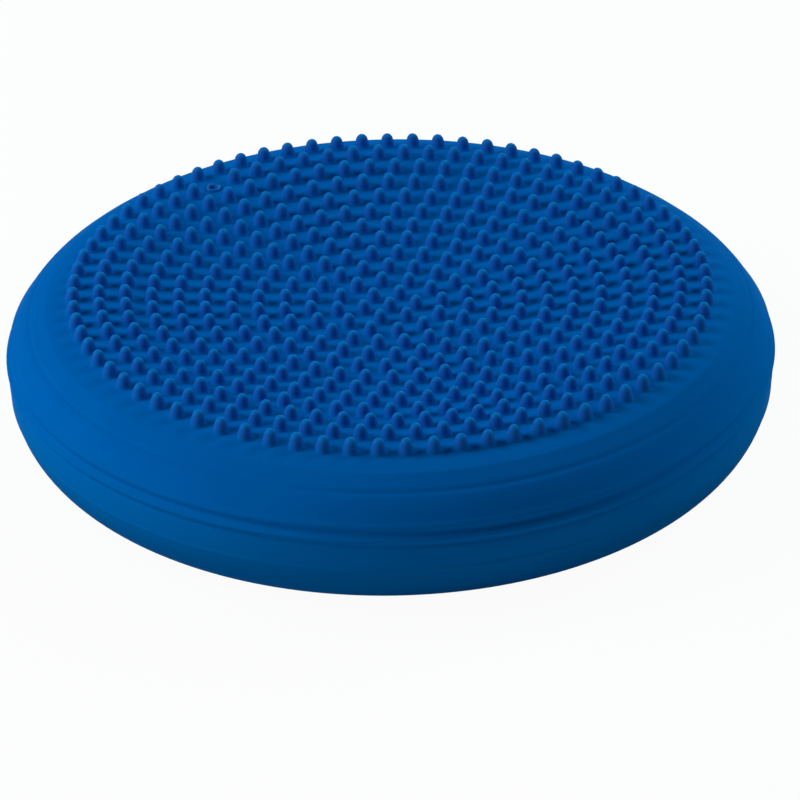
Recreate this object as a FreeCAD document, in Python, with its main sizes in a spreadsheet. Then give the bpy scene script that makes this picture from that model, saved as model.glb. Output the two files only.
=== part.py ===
import FreeCAD, Part
import os
import Sketcher

doc = FreeCAD.newDocument("balance_cushion")

# Driving dimensions, in millimetres and degrees.
# The section is described as normal angles: 0 at the equator, 90 on the crest, -90 on the floor.
SIZES = [
    ("disc_radius", 165.0, "widest radius, at the equator"),
    ("equator_height", 35.7, "floor to the equator"),
    ("crown_rise", 30.5, "equator to the crest of the rim"),
    ("wall", 3.5, "thickness of the skin"),
    ("lower_flank_radius", 55.0, "arc just below the equator"),
    ("lower_flank_turn", 12.0, "normal angle where that arc ends"),
    ("sole_radius", 40.0, "arc that rolls onto the floor"),
    ("sole_turn", 62.0, "normal angle where that arc begins"),
    ("upper_flank_radius", 42.0, "arc just above the equator"),
    ("upper_flank_turn", 14.0, "normal angle where that arc ends"),
    ("corner_radius", 11.0, "tight arc above the parting line"),
    ("corner_turn", 28.0, "normal angle where the tight arc ends"),
    ("shoulder_turn", 50.0, "normal angle where the shoulder arc ends"),
    ("band_drop", 4.5, "height of the conical band on the shoulder"),
    ("crest_inset", 35.0, "disc edge to the crest, seen from above"),
    ("land_width", 18.4, "crest to the outer edge of the bare land"),
    ("land_radius", 54.0, "convex arc of the bare land"),
    ("roll_radius", 104.0, "convex arc from the crest into the dish"),
    ("dish_depth", 9.4, "crest to the lowest point of the dish"),
    ("parting_rise", 9.7, "equator to the parting groove"),
    ("parting_groove_radius", 1.6, "round section of the parting groove"),
    ("parting_groove_depth", 0.7, "depth of the parting groove"),
    ("bead_rise", 6.2, "equator to the bead below the groove"),
    ("bead_radius", 1.8, "round section of the bead"),
    ("bead_proud", 0.55, "height of the bead over the flank"),
    ("crease_radius", 1.2, "round section of the two shoulder creases"),
    ("crease_depth", 0.35, "depth of the shoulder creases"),
    ("ring_pitch", 11.35, "spacing of the knob rings and of the knobs along them"),
    ("field_inset", 28.5, "disc edge to the outer limit of the knob axes"),
    ("spare_share", 0.35, "share of a pitch that a ring may borrow for one more knob"),
    ("knob_height", 6.4, "knob above the skin"),
    ("knob_radius", 3.25, "knob at its foot"),
    ("knob_tip_radius", 1.8, "rounded tip of the knob"),
    ("knob_foot", 0.5, "straight foot of the knob above the skin"),
    ("knob_root", 1.2, "depth to which a knob runs into the skin"),
    ("start_azimuth", 128.4, "line through the valve and the first knob of each ring"),
    ("valve_boss_radius", 5.6, "inward boss that holds the valve"),
    ("valve_boss_length", 15.0, "skin surface to the end of the boss"),
    ("seat_radius", 3.1, "stem of the valve seat"),
    ("seat_length", 13.5, "skin surface to the lower end of the seat"),
    ("seat_floor", 1.2, "lower end wall of the seat"),
    ("seat_vent_radius", 1.0, "air hole in that end wall"),
    ("lip_radius", 3.5, "glossy lip round the inflation hole"),
    ("lip_height", 0.8, "lip above the skin"),
    ("mouth_radius", 1.55, "inflation hole in the lip"),
    ("core_recess", 1.6, "skin surface to the top of the core"),
    ("core_radius", 2.2, "self-sealing core"),
    ("needle_radius", 1.2, "needle channel in the core"),
    ("channel_length", 7.0, "depth of the needle channel"),
    ("valve_gap", 0.02, "bond line between the valve pieces"),
]
sheet = doc.addObject("Spreadsheet::Sheet", "Sizes")
for row, (alias, value, meaning) in enumerate(SIZES, start=1):
    sheet.set(f"A{row}", alias)
    sheet.set(f"B{row}", str(value))
    sheet.set(f"C{row}", meaning)
    sheet.setAlias(f"B{row}", alias)
doc.recompute()


def size(alias):
    return f"Sizes.{alias}"


def number(expression):
    """Value of an expression, used as the first guess for the sketch that it drives."""
    value = sheet.evalExpression(expression)
    return float(getattr(value, "Value", value))


# Places worked out from the driving dimensions. Each is an expression, so it follows the sheet.
CREST_RADIUS = "(Sizes.disc_radius - Sizes.crest_inset)"
CREST_HEIGHT = "(Sizes.equator_height + Sizes.crown_rise)"
DISH_AND_ROLL = f"(({CREST_RADIUS} ^ 2 + Sizes.dish_depth ^ 2) / (2 * Sizes.dish_depth))"
DISH_RADIUS = f"({DISH_AND_ROLL} - Sizes.roll_radius)"
DISH_EDGE = f"({CREST_RADIUS} * {DISH_RADIUS} / {DISH_AND_ROLL})"
DISH_TURN = f"(90 + asin({CREST_RADIUS} / {DISH_AND_ROLL}) / 1 deg)"
LAND_TURN = "(acos(Sizes.land_width / Sizes.land_radius) / 1 deg)"
FIELD_RADIUS = "(Sizes.disc_radius - Sizes.field_inset)"
HEEL_RADIUS = (
    "((Sizes.equator_height - Sizes.lower_flank_radius * sin(Sizes.lower_flank_turn)"
    " - Sizes.sole_radius * (1 - sin(Sizes.sole_turn)))"
    " / (sin(Sizes.sole_turn) - sin(Sizes.lower_flank_turn)))"
)
SHOULDER_RADIUS = (
    "((Sizes.crown_rise - Sizes.band_drop"
    f" - Sizes.land_radius * (1 - sin({LAND_TURN}))"
    " - Sizes.upper_flank_radius * sin(Sizes.upper_flank_turn)"
    " - Sizes.corner_radius * (sin(Sizes.corner_turn) - sin(Sizes.upper_flank_turn)))"
    " / (sin(Sizes.shoulder_turn) - sin(Sizes.corner_turn)))"
)
RING_COUNT = int(number(f"floor({FIELD_RADIUS} / Sizes.ring_pitch)"))
VALVE_RING = RING_COUNT - 1
VALVE_RADIUS = f"({VALVE_RING} * Sizes.ring_pitch)"

# A sketch counts its own axes as geometry, the horizontal one before the vertical one.
H_AXIS, V_AXIS = -1, -2
ON_AXIS = 1e-9


def along(start, radius, turn_from, turn_to):
    """End point of an arc of the section that starts at a point and turns its normal outwards."""
    r, z = start
    end_r = f"({r} - {radius} * (cos({turn_from}) - cos({turn_to})))"
    end_z = f"({z} + {radius} * (sin({turn_to}) - sin({turn_from})))"
    return end_r, end_z


def section():
    """Stations of the outer section from the floor to the dish: point, normal angle, arc to the next."""
    lower_turn = f"(-{size('lower_flank_turn')})"
    sole_turn = f"(-{size('sole_turn')})"
    equator = (size("disc_radius"), size("equator_height"))
    lower = along(equator, size("lower_flank_radius"), "0", lower_turn)
    heel = along(lower, HEEL_RADIUS, lower_turn, sole_turn)
    sole = (along(heel, size("sole_radius"), sole_turn, "(-90)")[0], "0")
    upper = along(equator, size("upper_flank_radius"), "0", size("upper_flank_turn"))
    corner = along(upper, size("corner_radius"), size("upper_flank_turn"), size("corner_turn"))
    shoulder = along(corner, SHOULDER_RADIUS, size("corner_turn"), size("shoulder_turn"))
    crest = (CREST_RADIUS, CREST_HEIGHT)
    land = (
        f"({CREST_RADIUS} + Sizes.land_width)",
        f"({CREST_HEIGHT} - Sizes.land_radius * (1 - sin({LAND_TURN})))",
    )
    dish = (DISH_EDGE, surface_height(DISH_EDGE))
    return [
        (("0", "0"), "(-90)", None),
        (sole, "(-90)", size("sole_radius")),
        (heel, sole_turn, HEEL_RADIUS),
        (lower, lower_turn, size("lower_flank_radius")),
        (equator, "0", size("upper_flank_radius")),
        (upper, size("upper_flank_turn"), size("corner_radius")),
        (corner, size("corner_turn"), SHOULDER_RADIUS),
        (shoulder, size("shoulder_turn"), None),
        (land, LAND_TURN, size("land_radius")),
        (crest, "90", size("roll_radius")),
        (dish, DISH_TURN, f"(-{DISH_RADIUS})"),
    ]


def surface_height(radius):
    """Height of the top skin at a radius: dish, roll into the dish, or land outside the crest."""
    if number(f"{radius} - {DISH_EDGE}") < 0:
        return (
            f"({CREST_HEIGHT} - Sizes.dish_depth + {DISH_RADIUS}"
            f" - sqrt({DISH_RADIUS} ^ 2 - ({radius}) ^ 2))"
        )
    arc = size("roll_radius") if number(f"{radius} - {CREST_RADIUS}") < 0 else size("land_radius")
    return f"({CREST_HEIGHT} - {arc} + sqrt({arc} ^ 2 - ({radius} - {CREST_RADIUS}) ^ 2))"


def new_body(label):
    body = doc.addObject("PartDesign::Body", label)
    body.Label = label
    return body


def turn_to_start(part):
    """The start line is drawn along +X and then turned to its place about the upright axis."""
    part.setExpression("Placement.Rotation.Angle", size("start_azimuth"))


def origin_part(body, role):
    return next(part for part in body.Origin.OriginFeatures if part.Role == role)


def new_sketch(body, name, along_start="0", height="0"):
    """Upright sketch on the XZ plane, its own axis moved out along the start line and up."""
    sketch = body.newObject("Sketcher::SketchObject", name)
    sketch.AttachmentSupport = (origin_part(body, "XZ_Plane"), "")
    sketch.MapMode = "FlatFace"
    sketch.setExpression("AttachmentOffset.Base.x", along_start)
    sketch.setExpression("AttachmentOffset.Base.y", height)
    return sketch


def hold_point(sketch, geometry, vertex, point):
    """Tie a vertex to a place given by two expressions; a place on an axis is held by that axis."""
    for kind, value, axis in (("DistanceX", point[0], V_AXIS), ("DistanceY", point[1], H_AXIS)):
        if abs(number(value)) < ON_AXIS:
            sketch.addConstraint(Sketcher.Constraint("PointOnObject", geometry, vertex, axis))
        else:
            index = sketch.addConstraint(
                Sketcher.Constraint(kind, H_AXIS, 1, geometry, vertex, number(value)))
            sketch.setExpression(f"Constraints[{index}]", value)


def arc_between(start, end, radius):
    """Counter-clockwise arc between two points; a negative radius hollows the outline."""
    if radius < 0:
        start, end = end, start
    chord = end - start
    side = FreeCAD.Vector(chord.y, -chord.x, 0).normalize()
    rise = abs(radius) - max(radius ** 2 - (chord.Length / 2) ** 2, 0.0) ** 0.5
    return Part.Arc(start, (start + end) * 0.5 + side * rise, end)


def draw_loop(sketch, points, radii):
    """Closed outline of lines and arcs through points; radii[i] belongs to the side after point i."""
    places = [FreeCAD.Vector(number(x), number(y), 0) for x, y in points]
    total = len(points)
    for i, radius in enumerate(radii):
        start, end = places[i], places[(i + 1) % total]
        if radius is None:
            sketch.addGeometry(Part.LineSegment(start, end), False)
        else:
            sketch.addGeometry(arc_between(start, end, number(radius)), False)
    vertex_at_end = []
    for i in range(total):
        curve = sketch.Geometry[i]
        forward = (curve.StartPoint - places[i]).Length < (curve.EndPoint - places[i]).Length
        vertex_at_end.append((1, 2) if forward else (2, 1))
    for i in range(total):
        following = (i + 1) % total
        sketch.addConstraint(Sketcher.Constraint(
            "Coincident", i, vertex_at_end[i][1], following, vertex_at_end[following][0]))
    for i, radius in enumerate(radii):
        hold_point(sketch, i, vertex_at_end[i][0], points[i])
        if radius is not None:
            index = sketch.addConstraint(Sketcher.Constraint("Radius", i, abs(number(radius))))
            sketch.setExpression(f"Constraints[{index}]", f"abs({radius})")


def draw_circle(sketch, centre, radius):
    circle = Part.Circle(
        FreeCAD.Vector(number(centre[0]), number(centre[1]), 0), FreeCAD.Vector(0, 0, 1), number(radius))
    sketch.addGeometry(circle, False)
    hold_point(sketch, 0, 3, centre)
    index = sketch.addConstraint(Sketcher.Constraint("Radius", 0, number(radius)))
    sketch.setExpression(f"Constraints[{index}]", radius)


def revolve(body, kind, sketch, name):
    feature = body.newObject(f"PartDesign::{kind}", name)
    feature.Profile = sketch
    feature.ReferenceAxis = (sketch, ["V_Axis"])
    feature.Angle = 360
    sketch.Visibility = False
    return feature


def draw_section(sketch, inset, last_stations):
    """Half section of the cushion, closed on its axis, drawn at a depth under the outer skin."""
    points, radii = [], []
    for (r, z), turn, radius in section() + last_stations:
        at_axis = r == "0"
        moved_r = "0" if at_axis else f"({r} - {inset} * cos({turn}))"
        points.append((moved_r, f"({z} - {inset} * sin({turn}))"))
        radii.append(None if radius is None else f"({radius} - {inset})")
    draw_loop(sketch, points, radii)


# The side of a knob is one arc: upright where it leaves the foot, in line with the tip at its top.
KNOB_TIP_RISE = "(Sizes.knob_height - Sizes.knob_foot - Sizes.knob_tip_radius)"
KNOB_SIDE = (
    f"((Sizes.knob_radius ^ 2 + {KNOB_TIP_RISE} ^ 2 - Sizes.knob_tip_radius ^ 2)"
    " / (2 * (Sizes.knob_radius - Sizes.knob_tip_radius)))"
)


def knob_shoulder():
    """Point where the bulging side of a knob runs into its rounded tip, from the knob's foot."""
    reach = f"({KNOB_SIDE} / ({KNOB_SIDE} - Sizes.knob_tip_radius))"
    return (
        f"(Sizes.knob_radius - {KNOB_SIDE} + ({KNOB_SIDE} - Sizes.knob_radius) * {reach})",
        f"(Sizes.knob_foot + {KNOB_TIP_RISE} * {reach})",
    )


def draw_knob(sketch):
    """Knob section: a straight foot rooted in the skin, a bulging side and a rounded tip."""
    points = [
        ("0", "(-Sizes.knob_root)"),
        (size("knob_radius"), "(-Sizes.knob_root)"),
        (size("knob_radius"), size("knob_foot")),
        knob_shoulder(),
        ("0", size("knob_height")),
    ]
    draw_loop(sketch, points, [None, None, KNOB_SIDE, size("knob_tip_radius"), None])


def flank_radius(rise):
    return (
        "(Sizes.disc_radius - Sizes.upper_flank_radius"
        f" + sqrt(Sizes.upper_flank_radius ^ 2 - ({rise}) ^ 2))"
    )


# The bladder: one hollow skin with a dished top, whose centre knob is in its section.
bladder = new_body("bladder")
outer = new_sketch(bladder, "outer_section")
dish_low = f"({CREST_HEIGHT} - Sizes.dish_depth)"
side_radius, side_height = knob_shoulder()
centre_knob = [
    ((size("knob_radius"), surface_height(size("knob_radius"))), "90", None),
    ((size("knob_radius"), f"({dish_low} + Sizes.knob_foot)"), "90", KNOB_SIDE),
    ((side_radius, f"({dish_low} + {side_height})"), "90", size("knob_tip_radius")),
    (("0", f"({dish_low} + Sizes.knob_height)"), "90", None),
]
draw_section(outer, "0", centre_knob)
revolve(bladder, "Revolution", outer, "solid_disc")

bead = new_sketch(bladder, "bead_section")
bead_centre = (
    f"({flank_radius(size('bead_rise'))} + Sizes.bead_proud - Sizes.bead_radius)",
    "(Sizes.equator_height + Sizes.bead_rise)",
)
draw_circle(bead, bead_centre, size("bead_radius"))
revolve(bladder, "Revolution", bead, "parting_bead")

groove = new_sketch(bladder, "groove_section")
groove_reach = "(Sizes.parting_groove_radius - Sizes.parting_groove_depth)"
groove_centre = (
    f"({flank_radius(size('parting_rise'))} + {groove_reach})",
    "(Sizes.equator_height + Sizes.parting_rise)",
)
draw_circle(groove, groove_centre, size("parting_groove_radius"))
revolve(bladder, "Groove", groove, "parting_groove")

# A shallow crease runs along each edge of the band on the shoulder.
stations = section()
for name, ((r, z), turn, _) in (("shoulder_crease", stations[7]), ("land_crease", stations[8])):
    crease = new_sketch(bladder, name + "_section")
    stand_off = "(Sizes.crease_radius - Sizes.crease_depth)"
    centre = (f"({r} + {stand_off} * cos({turn}))", f"({z} + {stand_off} * sin({turn}))")
    draw_circle(crease, centre, size("crease_radius"))
    revolve(bladder, "Groove", crease, name)

VALVE_HEIGHT = surface_height(VALVE_RADIUS)


def draw_upright(sketch, inner, outer_radius, low, high):
    """Rectangle between two radii and two heights about the sketch's own axis."""
    corners = [(inner, low), (outer_radius, low), (outer_radius, high), (inner, high)]
    draw_loop(sketch, corners, [None] * len(corners))


cavity = new_sketch(bladder, "cavity_section")
draw_section(cavity, size("wall"), [(("0", dish_low), "90", None)])
revolve(bladder, "Groove", cavity, "air_space")

boss = new_sketch(bladder, "boss_section", VALVE_RADIUS, VALVE_HEIGHT)
draw_upright(boss, "0", size("valve_boss_radius"), "(-Sizes.valve_boss_length)", "(-Sizes.wall / 2)")
revolve(bladder, "Revolution", boss, "valve_boss")

pocket = new_sketch(bladder, "pocket_section", VALVE_RADIUS, VALVE_HEIGHT)
pocket_radius = "(Sizes.seat_radius + Sizes.valve_gap)"
pocket_low = "(-Sizes.valve_boss_length - Sizes.wall)"
draw_upright(pocket, "0", pocket_radius, pocket_low, size("knob_height"))
revolve(bladder, "Groove", pocket, "valve_pocket")

# One knob, and the rings of them. All of them are joined to the skin in one step, which keeps the
# skin whole and is far quicker than a pattern that joins ring after ring.
knob = new_body("knob")
knob_outline = new_sketch(knob, "knob_section")
draw_knob(knob_outline)
revolve(knob, "Revolution", knob_outline, "knob_solid")
doc.recompute()


def knob_ring(ring):
    """Ring of knobs, evenly spaced from the start line; the valve takes the first place of its ring."""
    radius = f"({ring} * Sizes.ring_pitch)"
    count = int(number(f"floor(2 * pi * {ring} + Sizes.spare_share)"))
    first = 1 if ring == VALVE_RING else 0
    foot = FreeCAD.Vector(number(radius), 0, number(surface_height(radius)))
    knobs = []
    for place in range(first, count):
        copy = knob.Shape.copy()
        copy.translate(foot)
        copy.rotate(FreeCAD.Vector(), FreeCAD.Vector(0, 0, 1), 360 * place / count)
        knobs.append(copy)
    feature = doc.addObject("Part::Feature", f"knob_ring_{ring:02d}")
    feature.Shape = Part.makeCompound(knobs)
    return feature


# The cushion: the bladder and its knobs are one moulding.
cushion = doc.addObject("Part::MultiFuse", "cushion_shell")
cushion.Label = "cushion_shell"
cushion.Shapes = [bladder] + [knob_ring(ring) for ring in range(1, RING_COUNT + 1)]
cushion.Refine = False
turn_to_start(cushion)

# The valve seat: a sleeve bonded into the boss, with the glossy lip that shows.
seat = new_body("valve_seat")
seat_outline = new_sketch(seat, "seat_section", VALVE_RADIUS, VALVE_HEIGHT)
LIP_ROUND = "(Sizes.lip_height / 2)"
draw_loop(seat_outline, [
    (size("seat_vent_radius"), "(-Sizes.seat_length)"),
    (size("seat_radius"), "(-Sizes.seat_length)"),
    (size("seat_radius"), size("valve_gap")),
    (size("lip_radius"), size("valve_gap")),
    (size("lip_radius"), f"(Sizes.lip_height - {LIP_ROUND})"),
    (f"(Sizes.lip_radius - {LIP_ROUND})", size("lip_height")),
    (f"(Sizes.mouth_radius + {LIP_ROUND})", size("lip_height")),
    (size("mouth_radius"), f"(Sizes.lip_height - {LIP_ROUND})"),
    (size("mouth_radius"), "(-Sizes.core_recess + Sizes.valve_gap)"),
    ("(Sizes.core_radius + Sizes.valve_gap)", "(-Sizes.core_recess + Sizes.valve_gap)"),
    ("(Sizes.core_radius + Sizes.valve_gap)", "(-Sizes.seat_length + Sizes.seat_floor)"),
    (size("seat_vent_radius"), "(-Sizes.seat_length + Sizes.seat_floor)"),
], [None, None, None, None, LIP_ROUND, None, LIP_ROUND, None, None, None, None, None])
revolve(seat, "Revolution", seat_outline, "seat_sleeve")
turn_to_start(seat)

# The core: a soft plug that closes on itself below the needle channel.
core = new_body("valve_core")
core_outline = new_sketch(core, "core_section", VALVE_RADIUS, VALVE_HEIGHT)
CORE_TOP = "(-Sizes.core_recess)"
CORE_LOW = "(-Sizes.seat_length + Sizes.seat_floor + Sizes.valve_gap)"
draw_loop(core_outline, [
    ("0", CORE_LOW),
    (size("core_radius"), CORE_LOW),
    (size("core_radius"), CORE_TOP),
    (size("needle_radius"), CORE_TOP),
    (size("needle_radius"), f"({CORE_TOP} - Sizes.channel_length)"),
    ("0", f"({CORE_TOP} - Sizes.channel_length)"),
], [None] * 6)
revolve(core, "Revolution", core_outline, "core_plug")
turn_to_start(core)

doc.recompute()

parts = [cushion, seat, core]
for feature in doc.Objects:
    if "Invalid" in feature.State or "Error" in feature.State:
        raise RuntimeError(f"{feature.Label} is not sound: {feature.State}")
for part in parts:
    if part.Shape.isNull() or not part.Shape.isValid():
        raise RuntimeError(f"{part.Label} has no valid shape")

os.makedirs("parts", exist_ok=True)
for part in parts:
    part.Shape.exportStep(f"parts/{part.Label}.step")
    print(f"{part.Label}: {len(part.Shape.Solids)} solid, {len(part.Shape.Faces)} faces,"
          f" {part.Shape.Volume:.0f} mm3")
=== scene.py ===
# %% [markdown]
# An air-filled balance cushion is one piece of soft PVC: a flat disc with a plain flank, a parting
# line round its middle and a dished top full of small rounded knobs. A needle valve takes the place
# of one knob. The packed model says where everything is, and this lesson gives it its looks: the
# skin is turned from its section, the knobs come from Geometry Nodes, and the two are stitched
# into one smooth moulding.

# %% Load the packed model
import math

import bpy
import bmesh
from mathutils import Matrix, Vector
from mathutils.geometry import delaunay_2d_cdt


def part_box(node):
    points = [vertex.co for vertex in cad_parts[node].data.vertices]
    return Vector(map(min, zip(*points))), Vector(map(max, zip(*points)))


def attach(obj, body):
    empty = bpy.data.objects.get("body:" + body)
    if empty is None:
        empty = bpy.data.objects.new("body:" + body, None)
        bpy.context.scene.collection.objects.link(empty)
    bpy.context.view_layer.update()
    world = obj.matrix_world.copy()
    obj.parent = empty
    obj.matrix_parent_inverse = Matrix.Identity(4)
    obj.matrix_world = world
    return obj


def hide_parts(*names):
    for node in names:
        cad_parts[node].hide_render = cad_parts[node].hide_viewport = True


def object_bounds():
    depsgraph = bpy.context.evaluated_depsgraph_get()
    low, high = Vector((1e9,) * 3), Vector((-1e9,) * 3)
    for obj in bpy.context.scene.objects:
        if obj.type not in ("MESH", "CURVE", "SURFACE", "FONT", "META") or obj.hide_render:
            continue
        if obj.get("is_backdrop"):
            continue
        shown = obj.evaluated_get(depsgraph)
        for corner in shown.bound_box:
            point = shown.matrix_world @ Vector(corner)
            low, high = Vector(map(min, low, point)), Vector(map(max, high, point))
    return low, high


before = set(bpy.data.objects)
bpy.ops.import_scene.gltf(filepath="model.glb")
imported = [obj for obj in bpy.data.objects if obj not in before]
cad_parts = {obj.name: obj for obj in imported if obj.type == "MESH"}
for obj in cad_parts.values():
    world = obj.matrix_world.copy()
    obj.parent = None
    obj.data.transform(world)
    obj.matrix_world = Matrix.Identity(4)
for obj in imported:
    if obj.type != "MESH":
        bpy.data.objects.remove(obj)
cad_low, cad_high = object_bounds()
shell_low, shell_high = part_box("cushion_shell")
print("disc", round((shell_high.x - shell_low.x) * 1000, 1), "mm across")

# %% [markdown]
# Sizes come first. The section of the disc is a chain of arcs, each joined to the next where both
# have the same slope. Only the straight band under the land meets its neighbours at a slight
# angle. An arc's ends are told by the angle of the outward normal: 0 degrees at the widest point,
# 90 on the crest of the rim and -90 on the floor. That is a plain way to write down a turned
# shape, because it needs only a radius and an angle for each arc.

# %% Sizes of the disc, in metres and degrees
MM = 0.001
DISC_RADIUS = 165.0 * MM
EQUATOR_HEIGHT = 35.7 * MM
CREST_HEIGHT = 66.2 * MM
CREST_RADIUS = 130.0 * MM

LOWER_FLANK = (55.0 * MM, 12.0)
SOLE_ARC = (40.0 * MM, 62.0)
UPPER_FLANK = (42.0 * MM, 14.0)
CORNER = (11.0 * MM, 28.0)
SHOULDER_TURN = 50.0
BAND_DROP = 4.5 * MM
LAND_WIDTH = 18.4 * MM
LAND_RADIUS = 54.0 * MM
ROLL_RADIUS = 104.0 * MM
DISH_DEPTH = 9.4 * MM

dish_and_roll = (CREST_RADIUS ** 2 + DISH_DEPTH ** 2) / (2 * DISH_DEPTH)
DISH_RADIUS = dish_and_roll - ROLL_RADIUS
DISH_EDGE = CREST_RADIUS * DISH_RADIUS / dish_and_roll


def top_height(radius):
    """Height of the bare top skin: the dish, the roll up to the crest, and the land outside it."""
    if radius < DISH_EDGE:
        rise = DISH_RADIUS - math.sqrt(DISH_RADIUS ** 2 - radius ** 2)
        return CREST_HEIGHT - DISH_DEPTH + rise
    arc = ROLL_RADIUS if radius < CREST_RADIUS else LAND_RADIUS
    return CREST_HEIGHT - arc + math.sqrt(arc ** 2 - (radius - CREST_RADIUS) ** 2)


print("dish radius", round(DISH_RADIUS / MM), "mm, dish edge at", round(DISH_EDGE / MM, 1), "mm")

# %% [markdown]
# The flank is that chain of arcs from the land down to the sole. On top of it sit the small marks
# of the mould: a rounded bead with a groove and a lip over it, where the two halves of the mould
# meet, a fine line under the bead, a shallow cut where the band below the land ends, and a faint
# line low on the flank. Each mark is a smooth bump along the section, so the finished flank has
# no hard steps, only edges that catch the light.

# %% Marks of the mould on the flank
SECTION_STEP = 0.6 * MM
SKIN_EDGE = 142.0 * MM
# Height over the floor, width and height of each mark on the flank; a minus sign cuts in.
FLANK_MARKS = [
    ("band edge", 57.7 * MM, 0.8 * MM, -0.40 * MM),
    ("upper lip", 46.2 * MM, 1.1 * MM, 0.60 * MM),
    ("parting groove", 43.2 * MM, 1.1 * MM, -0.75 * MM),
    ("parting bead", 40.4 * MM, 1.1 * MM, 1.10 * MM),
    ("line under the bead", 37.9 * MM, 0.8 * MM, -0.35 * MM),
    ("lower line", 25.6 * MM, 0.9 * MM, 0.40 * MM),
]
print("marks:", [name for name, *_ in FLANK_MARKS])

# %% One arc of a section
def sine(angle):
    return math.sin(math.radians(angle))


def cosine(angle):
    return math.cos(math.radians(angle))


def arc_points(start, radius, turn_from, turn_to):
    """Points along an arc of the section, from one normal angle to another."""
    steps = max(2, round(abs(radius) * math.radians(abs(turn_to - turn_from)) / SECTION_STEP))
    points = []
    for step in range(1, steps + 1):
        turn = turn_from + (turn_to - turn_from) * step / steps
        r = start[0] - radius * (cosine(turn_from) - cosine(turn))
        z = start[1] + radius * (sine(turn) - sine(turn_from))
        points.append((r, z, turn))
    return points


quarter = arc_points((DISC_RADIUS, 0.0), DISC_RADIUS, 0.0, 90.0)
print("a quarter turn at the disc's radius takes", len(quarter), "points")

# %% The chain of arcs, from the land to the floor
def flank_section():
    """Upper flank, band and land going up, lower flank and sole going down."""
    equator = (DISC_RADIUS, EQUATOR_HEIGHT)
    land_turn = math.degrees(math.acos(LAND_WIDTH / LAND_RADIUS))
    land_radius = CREST_RADIUS + LAND_WIDTH
    land_height = top_height(land_radius)

    up = [(*equator, 0.0)]
    up += arc_points(up[-1], UPPER_FLANK[0], 0.0, UPPER_FLANK[1])
    up += arc_points(up[-1], CORNER[0], UPPER_FLANK[1], CORNER[1])
    shoulder_rise = land_height - BAND_DROP - up[-1][1]
    shoulder_radius = shoulder_rise / (sine(SHOULDER_TURN) - sine(CORNER[1]))
    up += arc_points(up[-1], shoulder_radius, CORNER[1], SHOULDER_TURN)
    band_low = up[-1]
    band_steps = round(math.dist(band_low[:2], (land_radius, land_height)) / SECTION_STEP)
    for step in range(1, band_steps):
        share = step / band_steps
        r = band_low[0] + (land_radius - band_low[0]) * share
        z = band_low[1] + (land_height - band_low[1]) * share
        up.append((r, z, SHOULDER_TURN + (land_turn - SHOULDER_TURN) * share))
    land_steps = round((land_radius - SKIN_EDGE) / SECTION_STEP)
    for step in range(land_steps + 1):
        r = land_radius + (SKIN_EDGE - land_radius) * step / land_steps
        turn = math.degrees(math.acos((r - CREST_RADIUS) / LAND_RADIUS))
        up.append((r, top_height(r), turn))

    down = [(*equator, 0.0)]
    down += arc_points(down[-1], LOWER_FLANK[0], 0.0, -LOWER_FLANK[1])
    heel_drop = down[-1][1] - SOLE_ARC[0] * (1 - sine(SOLE_ARC[1]))
    heel_radius = heel_drop / (sine(SOLE_ARC[1]) - sine(LOWER_FLANK[1]))
    down += arc_points(down[-1], heel_radius, -LOWER_FLANK[1], -SOLE_ARC[1])
    down += arc_points(down[-1], SOLE_ARC[0], -SOLE_ARC[1], -90.0)
    return list(reversed(up)) + down[1:]


plain_section = flank_section()
print("the plain section has", len(plain_section), "points")

# %% The mould marks, raised and cut along the normals
def marked(points):
    """The section with its marks, without the angles."""
    result = []
    for r, z, turn in points:
        move = 0.0
        for _, height, width, rise in FLANK_MARKS:
            move += rise * math.exp(-((z - height) / width) ** 2)
        result.append((r + move * cosine(turn), z + move * sine(turn)))
    return result


section = marked(plain_section)
print("widest point", round(max(r for r, z in section) / MM, 2), "mm from the axis")

# %% [markdown]
# The knobs follow a rule: rings one pitch apart, each holding as many knobs as fit on it at the
# same pitch, and every ring starts on the line that runs through the valve. That is work for
# Geometry Nodes. A Repeat Zone walks out ring by ring, a circle gives each ring its points, the
# knob is instanced on them, and every vertex is dropped onto the bare top with a ray, so that a
# knob follows the slope that it stands on.

# %% Sizes of the knobs
RING_PITCH = 11.35 * MM
RING_COUNT = 12
SPARE_SHARE = 0.35
START_AZIMUTH = 128.4
VALVE_RING = 11
KNOB_HEIGHT = 6.4 * MM
KNOB_RADIUS = 3.25 * MM
KNOB_TIP_RADIUS = 2.5 * MM
KNOB_FOOT = 0.5 * MM
KNOB_SKIRT = 0.6 * MM
KNOB_SIDES = 12

# The side of a knob is one bulging arc from the foot to the rounded tip.
tip_rise = KNOB_HEIGHT - KNOB_FOOT - KNOB_TIP_RADIUS
tip_inset = KNOB_RADIUS - KNOB_TIP_RADIUS
KNOB_SIDE = (KNOB_RADIUS ** 2 + tip_rise ** 2 - KNOB_TIP_RADIUS ** 2) / (2 * tip_inset)
tip_turn = math.degrees(math.atan2(tip_rise, KNOB_SIDE - KNOB_RADIUS))
print("the side of a knob bulges on a radius of", round(KNOB_SIDE / MM, 1), "mm")

# %% The outline of one knob, row by row
# The second row sits this far along the skirt and up the foot, where the knob flares into the skin.
FLARE_OUT = 0.22
FLARE_UP = 0.45
# The middle row of the side, as a share of its arc, and how far the rows of the tip lean up.
MID_SIDE = 0.35
TIP_TURNS = (50, 72)


def knob_side_point(turn):
    """Radius and height on the side arc, where the outward normal leans up by an angle."""
    return (KNOB_RADIUS - KNOB_SIDE * (1 - cosine(turn)), KNOB_FOOT + KNOB_SIDE * sine(turn))


def knob_tip_point(turn):
    """Radius and height on the round tip, where the outward normal leans up by an angle."""
    return (KNOB_TIP_RADIUS * cosine(turn), KNOB_HEIGHT - KNOB_TIP_RADIUS * (1 - sine(turn)))


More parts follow.
